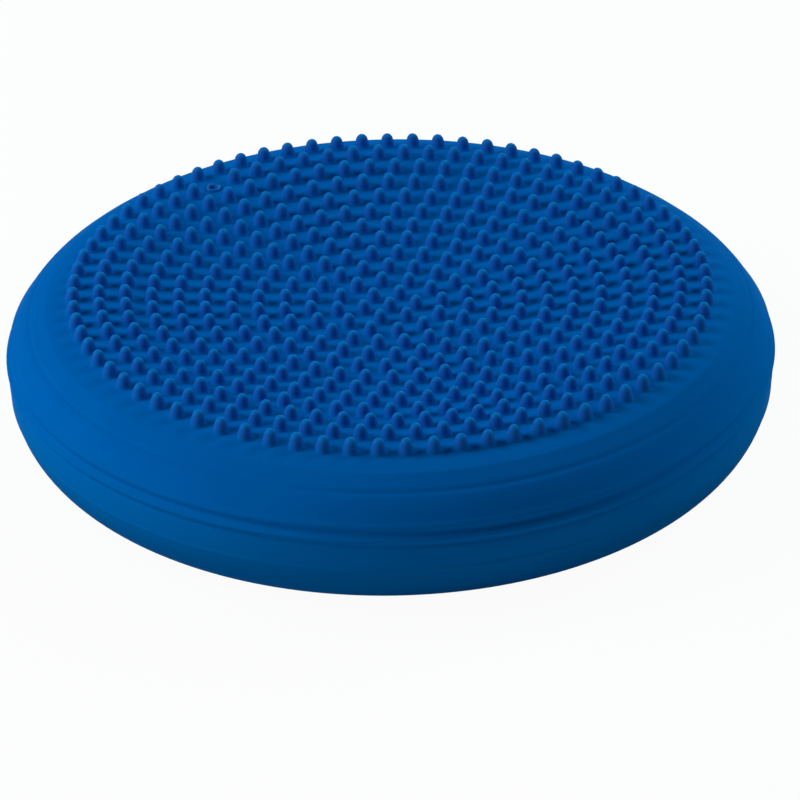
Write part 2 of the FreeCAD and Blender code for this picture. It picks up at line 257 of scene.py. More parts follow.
KNOB_ROWS = [
    (KNOB_RADIUS + KNOB_SKIRT, 0.0),
    (KNOB_RADIUS + FLARE_OUT * KNOB_SKIRT, FLARE_UP * KNOB_FOOT),
    knob_side_point(MID_SIDE * tip_turn),
    knob_side_point(tip_turn),
    *(knob_tip_point(turn) for turn in TIP_TURNS),
]
print("rows of a knob:", len(KNOB_ROWS))

# %% One knob to copy
def plain_object(name, mesh):
    made = bpy.data.objects.new(name, mesh)
    bpy.context.scene.collection.objects.link(made)
    return made


def knob_pattern():
    """One knob, open at the bottom, with a few dozen faces."""
    work = bmesh.new()
    rows = []
    for radius, height in KNOB_ROWS:
        row = []
        for side in range(KNOB_SIDES):
            turn = 2 * math.pi * side / KNOB_SIDES
            row.append(work.verts.new((radius * math.cos(turn), radius * math.sin(turn), height)))
        rows.append(row)
    tip = work.verts.new((0, 0, KNOB_HEIGHT))
    for low, high in zip(rows, rows[1:]):
        for side in range(KNOB_SIDES):
            after = (side + 1) % KNOB_SIDES
            work.faces.new((low[side], low[after], high[after], high[side]))
    for side in range(KNOB_SIDES):
        work.faces.new((rows[-1][side], rows[-1][(side + 1) % KNOB_SIDES], tip))
    mesh = bpy.data.meshes.new("knob_pattern")
    work.to_mesh(mesh)
    work.free()
    return plain_object("knob_pattern", mesh)


pattern = knob_pattern()
print("knob pattern has", len(pattern.data.polygons), "faces")

# %% The bare top that the knobs stand on
LANDING_SIDES = 180
LANDING_STEP = 2 * MM


def bare_top():
    """The top skin without knobs, only for the rays to land on."""
    work = bmesh.new()
    reach = CREST_RADIUS + LAND_WIDTH
    steps = round(reach / LANDING_STEP)
    centre = work.verts.new((0, 0, top_height(0)))
    rows = []
    for step in range(1, steps + 1):
        radius = reach * step / steps
        height = top_height(radius)
        row = []
        for side in range(LANDING_SIDES):
            turn = 2 * math.pi * side / LANDING_SIDES
            row.append(work.verts.new((radius * math.cos(turn), radius * math.sin(turn), height)))
        rows.append(row)
    for side in range(LANDING_SIDES):
        work.faces.new((centre, rows[0][side], rows[0][(side + 1) % LANDING_SIDES]))
    for inner, outer in zip(rows, rows[1:]):
        for side in range(LANDING_SIDES):
            after = (side + 1) % LANDING_SIDES
            work.faces.new((inner[side], outer[side], outer[after], inner[after]))
    mesh = bpy.data.meshes.new("bare_top")
    work.to_mesh(mesh)
    work.free()
    return plain_object("bare_top", mesh)


landing = bare_top()
print("the landing has", len(landing.data.polygons), "faces")

# %% [markdown]
# The tree takes every size as an input, so the same tree would lay out another cushion. Short
# calls keep it readable: one makes a node, one joins two sockets, one gives a socket a link or a
# plain value, and one does sums.

# %% The inputs of the node tree
tree = bpy.data.node_groups.new("knob_field", "GeometryNodeTree")
KNOB_FIELD_INPUTS = [
    ("Knob", "NodeSocketObject", pattern),
    ("Landing", "NodeSocketObject", landing),
    ("Ring Pitch", "NodeSocketFloat", RING_PITCH),
    ("Ring Count", "NodeSocketInt", RING_COUNT),
    ("Spare Share", "NodeSocketFloat", SPARE_SHARE),
    ("Start Azimuth", "NodeSocketFloat", math.radians(START_AZIMUTH)),
    ("Valve Ring", "NodeSocketInt", VALVE_RING),
    ("Size Variation", "NodeSocketFloat", 0.02),
    ("Seed", "NodeSocketInt", 7),
    ("Material", "NodeSocketMaterial", None),
]
for name, kind, _ in KNOB_FIELD_INPUTS:
    tree.interface.new_socket(name, in_out="INPUT", socket_type=kind)
tree.interface.new_socket("Geometry", in_out="OUTPUT", socket_type="NodeSocketGeometry")
print("inputs of the tree:", [name for name, _, _ in KNOB_FIELD_INPUTS])

# %% Short calls for Geometry Nodes
given = tree.nodes.new("NodeGroupInput")
result = tree.nodes.new("NodeGroupOutput")


def node(kind, **settings):
    made = tree.nodes.new(kind)
    for key, value in settings.items():
        setattr(made, key, value)
    return made


def join(source, target):
    tree.links.new(source, target)


def feed(socket, value):
    """Gives a socket either a link or a plain value."""
    if isinstance(value, bpy.types.NodeSocket):
        join(value, socket)
    else:
        socket.default_value = value


def maths(operation, first, second=0.0):
    made = node("ShaderNodeMath", operation=operation)
    feed(made.inputs[0], first)
    feed(made.inputs[1], second)
    return made.outputs[0]


print("nodes so far:", len(tree.nodes))

# %% Rings of points
# The Repeat Zone carries the points found so far and the number of the ring.
zone_in = node("GeometryNodeRepeatInput")
zone_out = node("GeometryNodeRepeatOutput")
zone_in.pair_with_output(zone_out)
zone_out.repeat_items.new("INT", "Ring")
join(given.outputs["Ring Count"], zone_in.inputs["Iterations"])
zone_in.inputs["Ring"].default_value = 1
ring = zone_in.outputs["Ring"]

share = maths("ADD", maths("MULTIPLY", ring, 2 * math.pi), given.outputs["Spare Share"])
count = maths("FLOOR", share)
radius = maths("MULTIPLY", ring, given.outputs["Ring Pitch"])
circle = node("GeometryNodeMeshCircle")
join(count, circle.inputs["Vertices"])
join(radius, circle.inputs["Radius"])

# The first point of the valve's ring makes room for the valve.
first_point = node("FunctionNodeCompare", data_type="INT", operation="EQUAL")
join(node("GeometryNodeInputIndex").outputs[0], first_point.inputs[2])
on_valve_ring = node("FunctionNodeCompare", data_type="INT", operation="EQUAL")
join(ring, on_valve_ring.inputs[2])
join(given.outputs["Valve Ring"], on_valve_ring.inputs[3])
both = node("FunctionNodeBooleanMath", operation="AND")
join(first_point.outputs[0], both.inputs[0])
join(on_valve_ring.outputs[0], both.inputs[1])
thinned = node("GeometryNodeDeleteGeometry", domain="POINT")
join(circle.outputs[0], thinned.inputs["Geometry"])
join(both.outputs[0], thinned.inputs["Selection"])

gathered = node("GeometryNodeJoinGeometry")
join(zone_in.outputs["Geometry"], gathered.inputs[0])
join(thinned.outputs[0], gathered.inputs[0])
join(gathered.outputs[0], zone_out.inputs["Geometry"])
join(maths("ADD", ring, 1), zone_out.inputs["Ring"])
print("the ring zone brings the tree to", len(tree.nodes), "nodes")

# %% Knobs on the points
# One more knob stands in the very centre.
centre_point = node("GeometryNodeMeshLine")
centre_point.inputs["Count"].default_value = 1
all_points = node("GeometryNodeJoinGeometry")
join(zone_out.outputs["Geometry"], all_points.inputs[0])
join(centre_point.outputs[0], all_points.inputs[0])
turned = node("GeometryNodeTransform")
turn_vector = node("ShaderNodeCombineXYZ")
join(given.outputs["Start Azimuth"], turn_vector.inputs["Z"])
join(all_points.outputs[0], turned.inputs["Geometry"])
join(turn_vector.outputs[0], turned.inputs["Rotation"])

# A seeded random scale makes the small differences between knobs.
knob_info = node("GeometryNodeObjectInfo")
join(given.outputs["Knob"], knob_info.inputs["Object"])
variation = node("FunctionNodeRandomValue", data_type="FLOAT")
join(maths("SUBTRACT", 1.0, given.outputs["Size Variation"]), variation.inputs[2])
join(maths("ADD", 1.0, given.outputs["Size Variation"]), variation.inputs[3])
join(given.outputs["Seed"], variation.inputs["Seed"])
instances = node("GeometryNodeInstanceOnPoints")
join(turned.outputs[0], instances.inputs["Points"])
join(knob_info.outputs["Geometry"], instances.inputs["Instance"])
join(variation.outputs[1], instances.inputs["Scale"])
real = node("GeometryNodeRealizeInstances")
join(instances.outputs[0], real.inputs[0])
print("placing the knobs brings it to", len(tree.nodes), "nodes")

# %% Drop every vertex onto the skin
# A ray from above gives each vertex the height of the skin under it.
landing_info = node("GeometryNodeObjectInfo")
join(given.outputs["Landing"], landing_info.inputs["Object"])
place = node("GeometryNodeInputPosition")
split = node("ShaderNodeSeparateXYZ")
join(place.outputs[0], split.inputs[0])
above = node("ShaderNodeCombineXYZ")
join(split.outputs["X"], above.inputs["X"])
join(split.outputs["Y"], above.inputs["Y"])
above.inputs["Z"].default_value = 1.0
ray = node("GeometryNodeRaycast")
join(landing_info.outputs["Geometry"], ray.inputs["Target Geometry"])
join(above.outputs[0], ray.inputs["Source Position"])
ray.inputs["Ray Direction"].default_value = (0, 0, -1)
hit = node("ShaderNodeSeparateXYZ")
join(ray.outputs["Hit Position"], hit.inputs[0])
lift = node("ShaderNodeCombineXYZ")
join(hit.outputs["Z"], lift.inputs["Z"])
dropped = node("GeometryNodeSetPosition")
join(real.outputs[0], dropped.inputs["Geometry"])
join(lift.outputs[0], dropped.inputs["Offset"])
painted = node("GeometryNodeSetMaterial")
join(dropped.outputs[0], painted.inputs["Geometry"])
join(given.outputs["Material"], painted.inputs["Material"])
join(painted.outputs[0], result.inputs[0])
print("knob_field tree has", len(tree.nodes), "nodes")

# %% [markdown]
# The knobs are worked out once and turned into a plain mesh, so that they can be welded to the
# skin. The export also needs a plain mesh, because it drops instances.

# %% Turn the knob field into a plain mesh
carrier = plain_object("knob_field", bpy.data.meshes.new("knob_field"))
layout = carrier.modifiers.new("knobs", "NODES")
layout.node_group = tree
socket_of = {item.name: item.identifier for item in tree.interface.items_tree if item.in_out == "INPUT"}
for name, _, value in KNOB_FIELD_INPUTS:
    if value is not None:
        layout[socket_of[name]] = value
graph = bpy.context.evaluated_depsgraph_get()
knob_field = bpy.data.meshes.new_from_object(carrier.evaluated_get(graph))
carrier.modifiers.remove(layout)
vertices_per_knob = len(pattern.data.vertices)
print("knobs:", len(knob_field.vertices) // vertices_per_knob)
for helper in (carrier, pattern, landing):
    bpy.data.objects.remove(helper)

# %% [markdown]
# On the real cushion the knobs and the skin are one wall, so there must be no seam where a knob
# begins. Delaunay triangulation fills the flat plan between the feet of the knobs with triangles
# that use the knobs' own bottom vertices, and each new vertex is then lifted onto the dish. The
# lathed flank is welded to the outer ring, which leaves one closed mesh.

# %% Place of the valve and steps of the skin
SIDES = 192
VALVE_HOLE = 3.3 * MM
VALVE_HOLE_SIDES = 24
VALVE_POCKET = 12.0 * MM
SKIN_POINT_STEP = 4.0 * MM
# Loose points keep this far from a knob and from the valve, which has one ring of its own.
KNOB_CLEARANCE = 1.6 * MM
HOLE_CLEARANCE = 2.2 * MM
HOLE_COLLAR = 1.2 * MM
MERGE_DISTANCE = 1e-7

valve_azimuth = math.radians(START_AZIMUTH)
valve_x = VALVE_RING * RING_PITCH * math.cos(valve_azimuth)
valve_y = VALVE_RING * RING_PITCH * math.sin(valve_azimuth)
print("valve at", round(valve_x / MM, 2), round(valve_y / MM, 2), "mm")

# %% Helpers for rings and for the skin
def ring_of(radius, sides, x=0.0, y=0.0):
    """Points of a circle seen from above."""
    turns = [2 * math.pi * side / sides for side in range(sides)]
    return [(x + radius * math.cos(turn), y + radius * math.sin(turn)) for turn in turns]


def skin_points(feet):
    """Loose points that round off the skin between the feet of the knobs."""
    clear_of = [(x, y, KNOB_RADIUS + KNOB_SKIRT + KNOB_CLEARANCE) for x, y in feet]
    clear_of.append((valve_x, valve_y, VALVE_HOLE + HOLE_CLEARANCE))
    points = ring_of(VALVE_HOLE + HOLE_COLLAR, VALVE_HOLE_SIDES, valve_x, valve_y)
    last_step = int((SKIN_EDGE - 0.5 * SKIN_POINT_STEP) / SKIN_POINT_STEP)
    for step in range(1, last_step + 1):
        radius = step * SKIN_POINT_STEP
        for x, y in ring_of(radius, round(2 * math.pi * step)):
            if all(math.hypot(x - a, y - b) > reach for a, b, reach in clear_of):
                points.append((x, y))
    return points


def bridge(work, first, second):
    """Quads between two rings of the same number of vertices."""
    for side in range(len(first)):
        after = (side + 1) % len(first)
        work.faces.new((first[side], first[after], second[after], second[side]))


def close_ring(work, ring, centre):
    """A fan of triangles over the end of a lathed shape."""
    pole = work.verts.new(centre)
    for side in range(len(ring)):
        work.faces.new((ring[side], ring[(side + 1) % len(ring)], pole))


print("a ring round the disc has", len(ring_of(DISC_RADIUS, SIDES)), "points")

# %% Plan of the feet, the edge and the valve's hole
work = bmesh.new()
work.from_mesh(knob_field)
work.verts.ensure_lookup_table()
foot_verts = []
feet = []
for first in range(0, len(work.verts), vertices_per_knob):
    loop = [work.verts[first + side] for side in range(KNOB_SIDES)]
    feet.append((sum(v.co.x for v in loop) / KNOB_SIDES, sum(v.co.y for v in loop) / KNOB_SIDES))
    foot_verts += loop

edge_ring = [work.verts.new((x, y, section[0][1])) for x, y in ring_of(section[0][0], SIDES)]
hole_ring = []
for x, y in ring_of(VALVE_HOLE, VALVE_HOLE_SIDES, valve_x, valve_y):
    hole_ring.append(work.verts.new((x, y, top_height(math.hypot(x, y)))))
known = foot_verts + edge_ring + hole_ring
plan = [Vector((v.co.x, v.co.y)) for v in known]
plan += [Vector(point) for point in skin_points(feet)]
print("feet:", len(feet), "points in the plan:", len(plan))

# %% Fill the plan with triangles and lift it onto the dish
def loop_edges(start, length):
    return [(start + i, start + (i + 1) % length) for i in range(length)]


edges = []
for knob in range(len(feet)):
    edges += loop_edges(knob * KNOB_SIDES, KNOB_SIDES)
edges += loop_edges(len(foot_verts), SIDES)
edges += loop_edges(len(foot_verts) + SIDES, VALVE_HOLE_SIDES)
flat_verts, _, triangles, origins, _, _ = delaunay_2d_cdt(plan, edges, [], 0, MERGE_DISTANCE)

skin_verts = []
for flat, origin in zip(flat_verts, origins):
    if origin and origin[0] < len(known):
        skin_verts.append(known[origin[0]])
    else:
        skin_verts.append(work.verts.new((flat.x, flat.y, top_height(flat.length))))
# A triangle whose corners all belong to one foot, or to the valve's hole, lies inside it.
same_loop = {}
for index, vertex in enumerate(foot_verts):
    same_loop[vertex] = index // KNOB_SIDES
for vertex in hole_ring:
    same_loop[vertex] = "valve"
for triangle in triangles:
    corners = [skin_verts[i] for i in triangle]
    owners = {same_loop.get(corner, corner) for corner in corners}
    if len(owners) > 1:
        work.faces.new(corners)
print("skin triangles:", len(triangles))

# %% Turn the flank and the sole, and close the valve's pocket
previous = edge_ring
for r, z in section[1:]:
    ring_verts = [work.verts.new((x, y, z)) for x, y in ring_of(r, SIDES)]
    bridge(work, previous, ring_verts)
    previous = ring_verts
close_ring(work, previous, (0, 0, 0))

pocket_ring = [work.verts.new((v.co.x, v.co.y, v.co.z - VALVE_POCKET)) for v in hole_ring]
bridge(work, hole_ring, pocket_ring)
close_ring(work, pocket_ring, (valve_x, valve_y, pocket_ring[0].co.z))
bmesh.ops.recalc_face_normals(work, faces=work.faces)
print("rings of the flank:", len(section))

# %% Note the height over the bare skin, and make the cushion
# The attribute runs from 0 on the skin to 1 on the tip of a knob, for the material to read: it places the
# painted shade on the knobs' sides, the painted highlight on their tips and the thin coat.
rise = work.verts.layers.float.new("rise")
for vertex in work.verts:
    radius = math.hypot(vertex.co.x, vertex.co.y)
    if radius < SKIN_EDGE:
        above = (vertex.co.z - top_height(radius)) / KNOB_HEIGHT
        vertex[rise] = min(max(above, 0.0), 1.0)
open_edges = sum(1 for edge in work.edges if not edge.is_manifold)
skin_mesh = bpy.data.meshes.new("cushion")
work.to_mesh(skin_mesh)
work.free()
cushion = plain_object("cushion", skin_mesh)
for polygon in skin_mesh.polygons:
    polygon.use_smooth = True
print("cushion:", len(skin_mesh.polygons), "faces,", open_edges, "open edges")

# %% [markdown]
# Soft PVC is cast against the inside of a metal mould, so its surface copies the mould: a fine
# satin grain, faint rings from turning the mould, and a slight unevenness where the wall cooled.
# The grain is a node group, because the valve's sleeve is moulded too, only smoother.

# %% Short calls for shader nodes
def node_maker(nodes, links):
    """Short calls for building a shader tree: one makes nodes, the other links or sets inputs."""
    def make(kind, inputs=None, **settings):
        made = nodes.new(kind)
        for key, value in settings.items():
            setattr(made, key, value)
        for key, value in (inputs or {}).items():
            if isinstance(value, bpy.types.NodeSocket):
                links.new(value, made.inputs[key])
            else:
                made.inputs[key].default_value = value
        return made
    return make


print("shader nodes are made by", node_maker.__name__)

# %% Sockets of the grain group
grain = bpy.data.node_groups.new("moulded_grain", "ShaderNodeTree")
for name, kind, default in (
    ("Vector", "NodeSocketVector", (0, 0, 0)),
    ("Grain Size", "NodeSocketFloat", 0.5),
    ("Unevenness", "NodeSocketFloat", 0.3),
    ("Ring Marks", "NodeSocketFloat", 0.2),
):
    grain.interface.new_socket(name, in_out="INPUT", socket_type=kind).default_value = default
for name in ("Height", "Mottle", "Grain"):
    grain.interface.new_socket(name, in_out="OUTPUT", socket_type="NodeSocketFloat")
print("sockets:", [item.name for item in grain.interface.items_tree])

# %% Noise for the grain, the unevenness and the turning marks
BROAD_SCALE = 38.0
TURNING_SCALE = 420.0
FINE_SHARE = 0.12

make = node_maker(grain.nodes, grain.links)
grain_in = make("NodeGroupInput")
grain_out = make("NodeGroupOutput")

# Fine satin grain, about half a millimetre across.
grains_per_metre = make("ShaderNodeMath", {
    0: 1 / MM, 1: grain_in.outputs["Grain Size"],
}, operation="DIVIDE")
fine = make("ShaderNodeTexNoise", {
    "Vector": grain_in.outputs["Vector"], "Scale": grains_per_metre.outputs[0], "Detail": 2.0,
})
# Broad unevenness of the wall, a few centimetres across.
broad = make("ShaderNodeTexNoise", {
    "Vector": grain_in.outputs["Vector"], "Scale": BROAD_SCALE, "Detail": 3.0,
})
# Turning marks follow the height only, and fade in and out round the disc.
parts_of = make("ShaderNodeSeparateXYZ", {0: grain_in.outputs["Vector"]})
level = make("ShaderNodeCombineXYZ", {"Z": parts_of.outputs["Z"]})
marks = make("ShaderNodeTexNoise", {
    "Vector": level.outputs[0], "Scale": TURNING_SCALE, "Detail": 2.0,
})
print("noises:", [node.name for node in grain.nodes if node.type == "TEX_NOISE"])

# %% Add the three up into one height
def sum_node(operation, first, second):
    return make("ShaderNodeMath", {0: first, 1: second}, operation=operation).outputs[0]


broken = sum_node("MULTIPLY", marks.outputs[0], broad.outputs[0])
uneven = sum_node("MULTIPLY", broad.outputs[0], grain_in.outputs["Unevenness"])
ringed = sum_node("MULTIPLY", broken, grain_in.outputs["Ring Marks"])
coarse = sum_node("ADD", uneven, ringed)
small = sum_node("MULTIPLY", fine.outputs[0], FINE_SHARE)
grain.links.new(sum_node("ADD", coarse, small), grain_out.inputs["Height"])
grain.links.new(broad.outputs[0], grain_out.inputs["Mottle"])
grain.links.new(fine.outputs[0], grain_out.inputs["Grain"])
print("moulded_grain has", len(grain.nodes), "nodes")

# %% Colours of the two PVCs
def linear(red, green, blue):
    """Turns a colour as a paint program gives it, 0 to 255, into scene-linear values."""
    values = []
    for channel in (red, green, blue):
        share = channel / 255
        values.append(share / 12.92 if share <= 0.04045 else ((share + 0.055) / 1.055) ** 2.4)
    return (*values, 1.0)


# Each chain of colours runs over the body: a slow drift, painted shade on the lower flank and its
# hem, then painted shade on the side of the knobs and a painted highlight on their tip.
SOFT_COLOURS = {
    "body": linear(0, 96, 181),
    "drift": linear(0, 92, 175),
    # painted shade: less blue low on the flank and darker at its hem
    "low": linear(0, 99, 176),
    "hem_shade": linear(0, 94, 164),
    # painted shade: a violet tint on the sides of the knobs
    "side": linear(22, 93, 182),
    # painted highlight: the tips of the knobs are lighter
    "tip": linear(4, 110, 194),
}
GLOSS_COLOURS = {
    "body": linear(0, 94, 178),
    "drift": linear(0, 88, 168),
    # painted shade: less blue low on the flank and darker at its hem
    "low": linear(0, 88, 168),
    "hem_shade": linear(0, 88, 168),
    "side": linear(0, 94, 178),
    "tip": linear(0, 94, 178),
}
print("soft colours:", list(SOFT_COLOURS))

# %% [markdown]
# Both PVCs are one recipe with different values. The colour is mixed from the body's own by masks
# that follow the height over the floor and the height over the skin: they paint shade on the lower
# flank and on the sides of the knobs, and a highlight on their tips. The tips of the knobs are
# rubbed a little shinier, which a thin coat shows, and the sheen is tinted so that it stays blue.

# %% Where the colours change, and how shiny the tips are
# Heights over the floor and shares of a knob's height, from where a mask is 0 to where it is full.
# Painted shade: the lower flank turns less blue, and its hem darker, towards the floor.
LOW_FLANK_SHADE = (52 * MM, 32 * MM)
HEM_SHADE = (29 * MM, 18 * MM)
# Painted shade: the sides of the knobs are tinted violet.
KNOB_SHADE = (0.05, 0.40)
# Painted highlight: the tips of the knobs are coloured lighter.
KNOB_TIP_HIGHLIGHT = (0.70, 0.98)
RUBBED_TIP = (0.72, 0.95)
BURNISH = 0.05
BURNISH_ROUGHNESS = 0.35
ROUGHNESS_DRIFT = 0.04
SHEEN = (0.25, 0.85, 1, 1)
# A Mix node keeps its two colours on these sockets, and puts the mixed one out on the third.
COLOUR_A, COLOUR_B, COLOUR_OUT = 6, 7, 2
print("the lower flank takes its colour from", LOW_FLANK_SHADE[0] / MM, "mm down to", LOW_FLANK_SHADE[1] / MM, "mm")

# %% The recipe of a moulded PVC
def moulded_pvc(name, colours, roughness, gloss, grain_size, ring_marks, bump):
    """A moulded PVC whose colour drifts a little, with painted shade low on the flank and on the sides of
    the knobs, and a painted highlight on their tips.
    """
    material = bpy.data.materials.new(name)
    material.use_nodes = True
    links = material.node_tree.links
    make = node_maker(material.node_tree.nodes, links)
    shader = material.node_tree.nodes["Principled BSDF"]
    place = make("ShaderNodeTexCoord")
    group = make("ShaderNodeGroup", {
        "Vector": place.outputs["Object"], "Grain Size": grain_size, "Ring Marks": ring_marks,
    }, node_tree=grain)
    over_floor = make("ShaderNodeSeparateXYZ", {0: place.outputs["Object"]}).outputs["Z"]
    over_skin = make("ShaderNodeAttribute", attribute_name="rise").outputs["Fac"]

    def ramp(value, span, reach=1.0):
        return make("ShaderNodeMapRange", {
            "Value": value, "From Min": span[0], "From Max": span[1], "To Min": 0.0, "To Max": reach,
        }).outputs[0]

    colour = colours["body"]
    # After the random drift, the masks paint shade low on the flank and on the knobs' sides, and a
    # highlight on their tips.
    for key, mask in (
        ("drift", group.outputs["Mottle"]),
        ("low", ramp(over_floor, LOW_FLANK_SHADE)),
        ("hem_shade", ramp(over_floor, HEM_SHADE)),
        ("side", ramp(over_skin, KNOB_SHADE)),
        ("tip", ramp(over_skin, KNOB_TIP_HIGHLIGHT)),
    ):
        colour = make("ShaderNodeMix", {
            "Factor": mask, COLOUR_A: colour, COLOUR_B: colours[key],
        }, data_type="RGBA").outputs[COLOUR_OUT]
    links.new(colour, shader.inputs["Base Color"])

    rough = make("ShaderNodeMapRange", {
        "Value": group.outputs["Mottle"],
        "To Min": roughness - ROUGHNESS_DRIFT, "To Max": roughness + ROUGHNESS_DRIFT,
    })
    links.new(rough.outputs[0], shader.inputs["Roughness"])
    links.new(ramp(over_skin, RUBBED_TIP, BURNISH), shader.inputs["Coat Weight"])
    shader.inputs["Coat Roughness"].default_value = BURNISH_ROUGHNESS
    shader.inputs["Specular IOR Level"].default_value = gloss
    shader.inputs["Specular Tint"].default_value = SHEEN
    relief = make("ShaderNodeBump", {
        "Strength": 1.0, "Distance": bump, "Height": group.outputs["Height"],
    })
    links.new(relief.outputs[0], shader.inputs["Normal"])
    return material


print("base recipe:", moulded_pvc.__doc__)

# %% Soft PVC of the cushion and glossy PVC of the valve
soft_pvc = moulded_pvc(
    "soft_pvc", SOFT_COLOURS, roughness=0.45, gloss=0.0003, grain_size=0.5, ring_marks=0.25, bump=0.12 * MM,
)
gloss_pvc = moulded_pvc(
    "gloss_pvc", GLOSS_COLOURS, roughness=0.25, gloss=0.04, grain_size=0.7, ring_marks=0.0, bump=0.03 * MM,
)
cushion.data.materials.append(soft_pvc)

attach(cushion, "root")
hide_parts("cushion_shell")
print("materials:", soft_pvc.name, gloss_pvc.name)

# %% [markdown]
# The valve is a glossy sleeve set into the skin. Only its rounded lip shows, with the dark mouth
# over the self-sealing plug inside. The sleeve is a turned part, so it is a short section spun
# round the valve's axis.

# %% Sizes of the valve's sleeve
LIP_HEIGHT = 0.8 * MM
LIP_RADIUS = 3.5 * MM
MOUTH_RADIUS = 1.8 * MM
SLEEVE_RADIUS = 3.05 * MM
LIP_STEPS = 8
# The lip stands on a short neck, and its mouth goes down to the plug.
LIP_NECK = 0.6 * MM
MOUTH_DEPTH = 1.6 * MM
MOUTH_CORNER = 0.05 * MM
seat_low, seat_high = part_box("valve_seat")
lip_top = seat_high.z
lip_foot = lip_top - LIP_HEIGHT
print("lip top at", round(lip_top / MM, 2), "mm")

# %% A short section, spun round
def turned_piece(name, profile, sides=48):
    """Spins a closed profile, from pole to pole, round the valve's axis."""
    work = bmesh.new()
    previous = None
    for r, z in profile[1:-1]:
        loop = [work.verts.new((x, y, z)) for x, y in ring_of(r, sides, valve_x, valve_y)]
        if previous:
            bridge(work, previous, loop)
        else:
            close_ring(work, loop, (valve_x, valve_y, profile[0][1]))
        previous = loop
    close_ring(work, previous, (valve_x, valve_y, profile[-1][1]))
    bmesh.ops.recalc_face_normals(work, faces=work.faces)
    mesh = bpy.data.meshes.new(name)
    work.to_mesh(mesh)
    work.free()
    for polygon in mesh.polygons:
        polygon.use_smooth = True
    return plain_object(name, mesh)


print("turned pieces stand on", round(valve_x / MM, 2), round(valve_y / MM, 2), "mm")

# %% The valve's sleeve
recess = lip_top - MOUTH_DEPTH
half_width = (LIP_RADIUS - MOUTH_RADIUS) / 2
lip_profile = [(0, seat_low.z), (SLEEVE_RADIUS, seat_low.z)]
lip_profile += [(SLEEVE_RADIUS, lip_foot - LIP_NECK), (LIP_RADIUS, lip_foot)]
for step in range(LIP_STEPS + 1):
    turn = math.pi * step / LIP_STEPS
    r = MOUTH_RADIUS + half_width * (1 + math.cos(turn))
    lip_profile.append((r, lip_foot + LIP_HEIGHT * math.sin(turn)))
lip_profile += [(MOUTH_RADIUS, recess), (MOUTH_RADIUS - MOUTH_CORNER, recess), (0, recess)]
valve_lip = turned_piece("valve_lip", lip_profile)
valve_lip.data.materials.append(gloss_pvc)
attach(valve_lip, "root")
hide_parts("valve_seat")
print("valve lip:", len(valve_lip.data.polygons), "faces")

# %% [markdown]
# The plug at the bottom of the mouth is soft, dull rubber, coloured nearly black as painted shade,
# so that the mouth reads as a hole. It keeps the packed model's own shape and only gets a material.

# %% Dull rubber for the plug, nearly black as painted shade
# The rubber's near-black colour doubles as painted shade in the valve's mouth.
PLUG_DARK = linear(14, 16, 58)
PLUG_LIGHT = linear(22, 24, 74)
PLUG_ROUGHNESS = 0.6
plug_rubber_and_shade = bpy.data.materials.new("plug_rubber_and_shade")
plug_rubber_and_shade.use_nodes = True
make = node_maker(plug_rubber_and_shade.node_tree.nodes, plug_rubber_and_shade.node_tree.links)
rubber = plug_rubber_and_shade.node_tree.nodes["Principled BSDF"]
rubber_place = make("ShaderNodeTexCoord")
rubber_grain = make("ShaderNodeGroup", {"Vector": rubber_place.outputs["Object"]}, node_tree=grain)
rubber_colour = make("ShaderNodeMix", {
    "Factor": rubber_grain.outputs["Grain"], COLOUR_A: PLUG_DARK, COLOUR_B: PLUG_LIGHT,
}, data_type="RGBA")
plug_rubber_and_shade.node_tree.links.new(rubber_colour.outputs[COLOUR_OUT], rubber.inputs["Base Color"])
rubber.inputs["Roughness"].default_value = PLUG_ROUGHNESS
core = bpy.data.objects["valve_core"]
core.data.materials.clear()
core.data.materials.append(plug_rubber_and_shade)
print("plug finished in", plug_rubber_and_shade.name)

# %% [markdown]
# The photograph looks down on the disc at 29 degrees from far away, so the picture is nearly flat
# and the ellipses barely taper. The camera is placed by its distance and elevation round the
# middle of the knob field, and rolled by a degree to lie as the picture does.

# %% Camera
CAMERA_ELEVATION = 28.81
CAMERA_ROLL = 0.945
CAMERA_DISTANCE = 2551.6 * MM
LENS = 267.1
SENSOR_WIDTH = 36.0
AIM_HEIGHT = 65.84 * MM
CAMERA_SHIFT_X = 1.0 * MM
AIM = Vector((3.65 * MM, 0.0, 12.25 * MM))

camera_data = bpy.data.cameras.new("camera")
camera_data.lens = LENS
camera_data.sensor_width = SENSOR_WIDTH
camera = bpy.data.objects.new("camera", camera_data)
bpy.context.scene.collection.objects.link(camera)
camera.location = (
    CAMERA_SHIFT_X,
    -CAMERA_DISTANCE * cosine(CAMERA_ELEVATION),
    AIM_HEIGHT + CAMERA_DISTANCE * sine(CAMERA_ELEVATION),
)
looking = (AIM - camera.location).to_track_quat("-Z", "Y").to_euler()
camera.rotation_euler = looking
camera.rotation_euler.rotate_axis("Z", math.radians(-CAMERA_ROLL))
bpy.context.scene.camera = camera
print("camera at", [round(value, 3) for value in camera.location])

# %% [markdown]
# The light is that of a product photograph: a large soft box on the left, another above the far
# right corner, and a low strip behind that lights the far rim. Nothing stands in front, so the
# near right flank falls into the dark. The lamps are tinted: each holds less red than white light,
# and the low strip least of all, so that the blue doesn't turn violet at the rim. Around it all is
# white: the camera and every gloss see the surround and the floor as white, while the floor keeps
# the cushion's shadow.

# %% Light
LAMP_DISTANCE = 1.8
LAMP_TARGET = Vector((0, 0, 40 * MM))


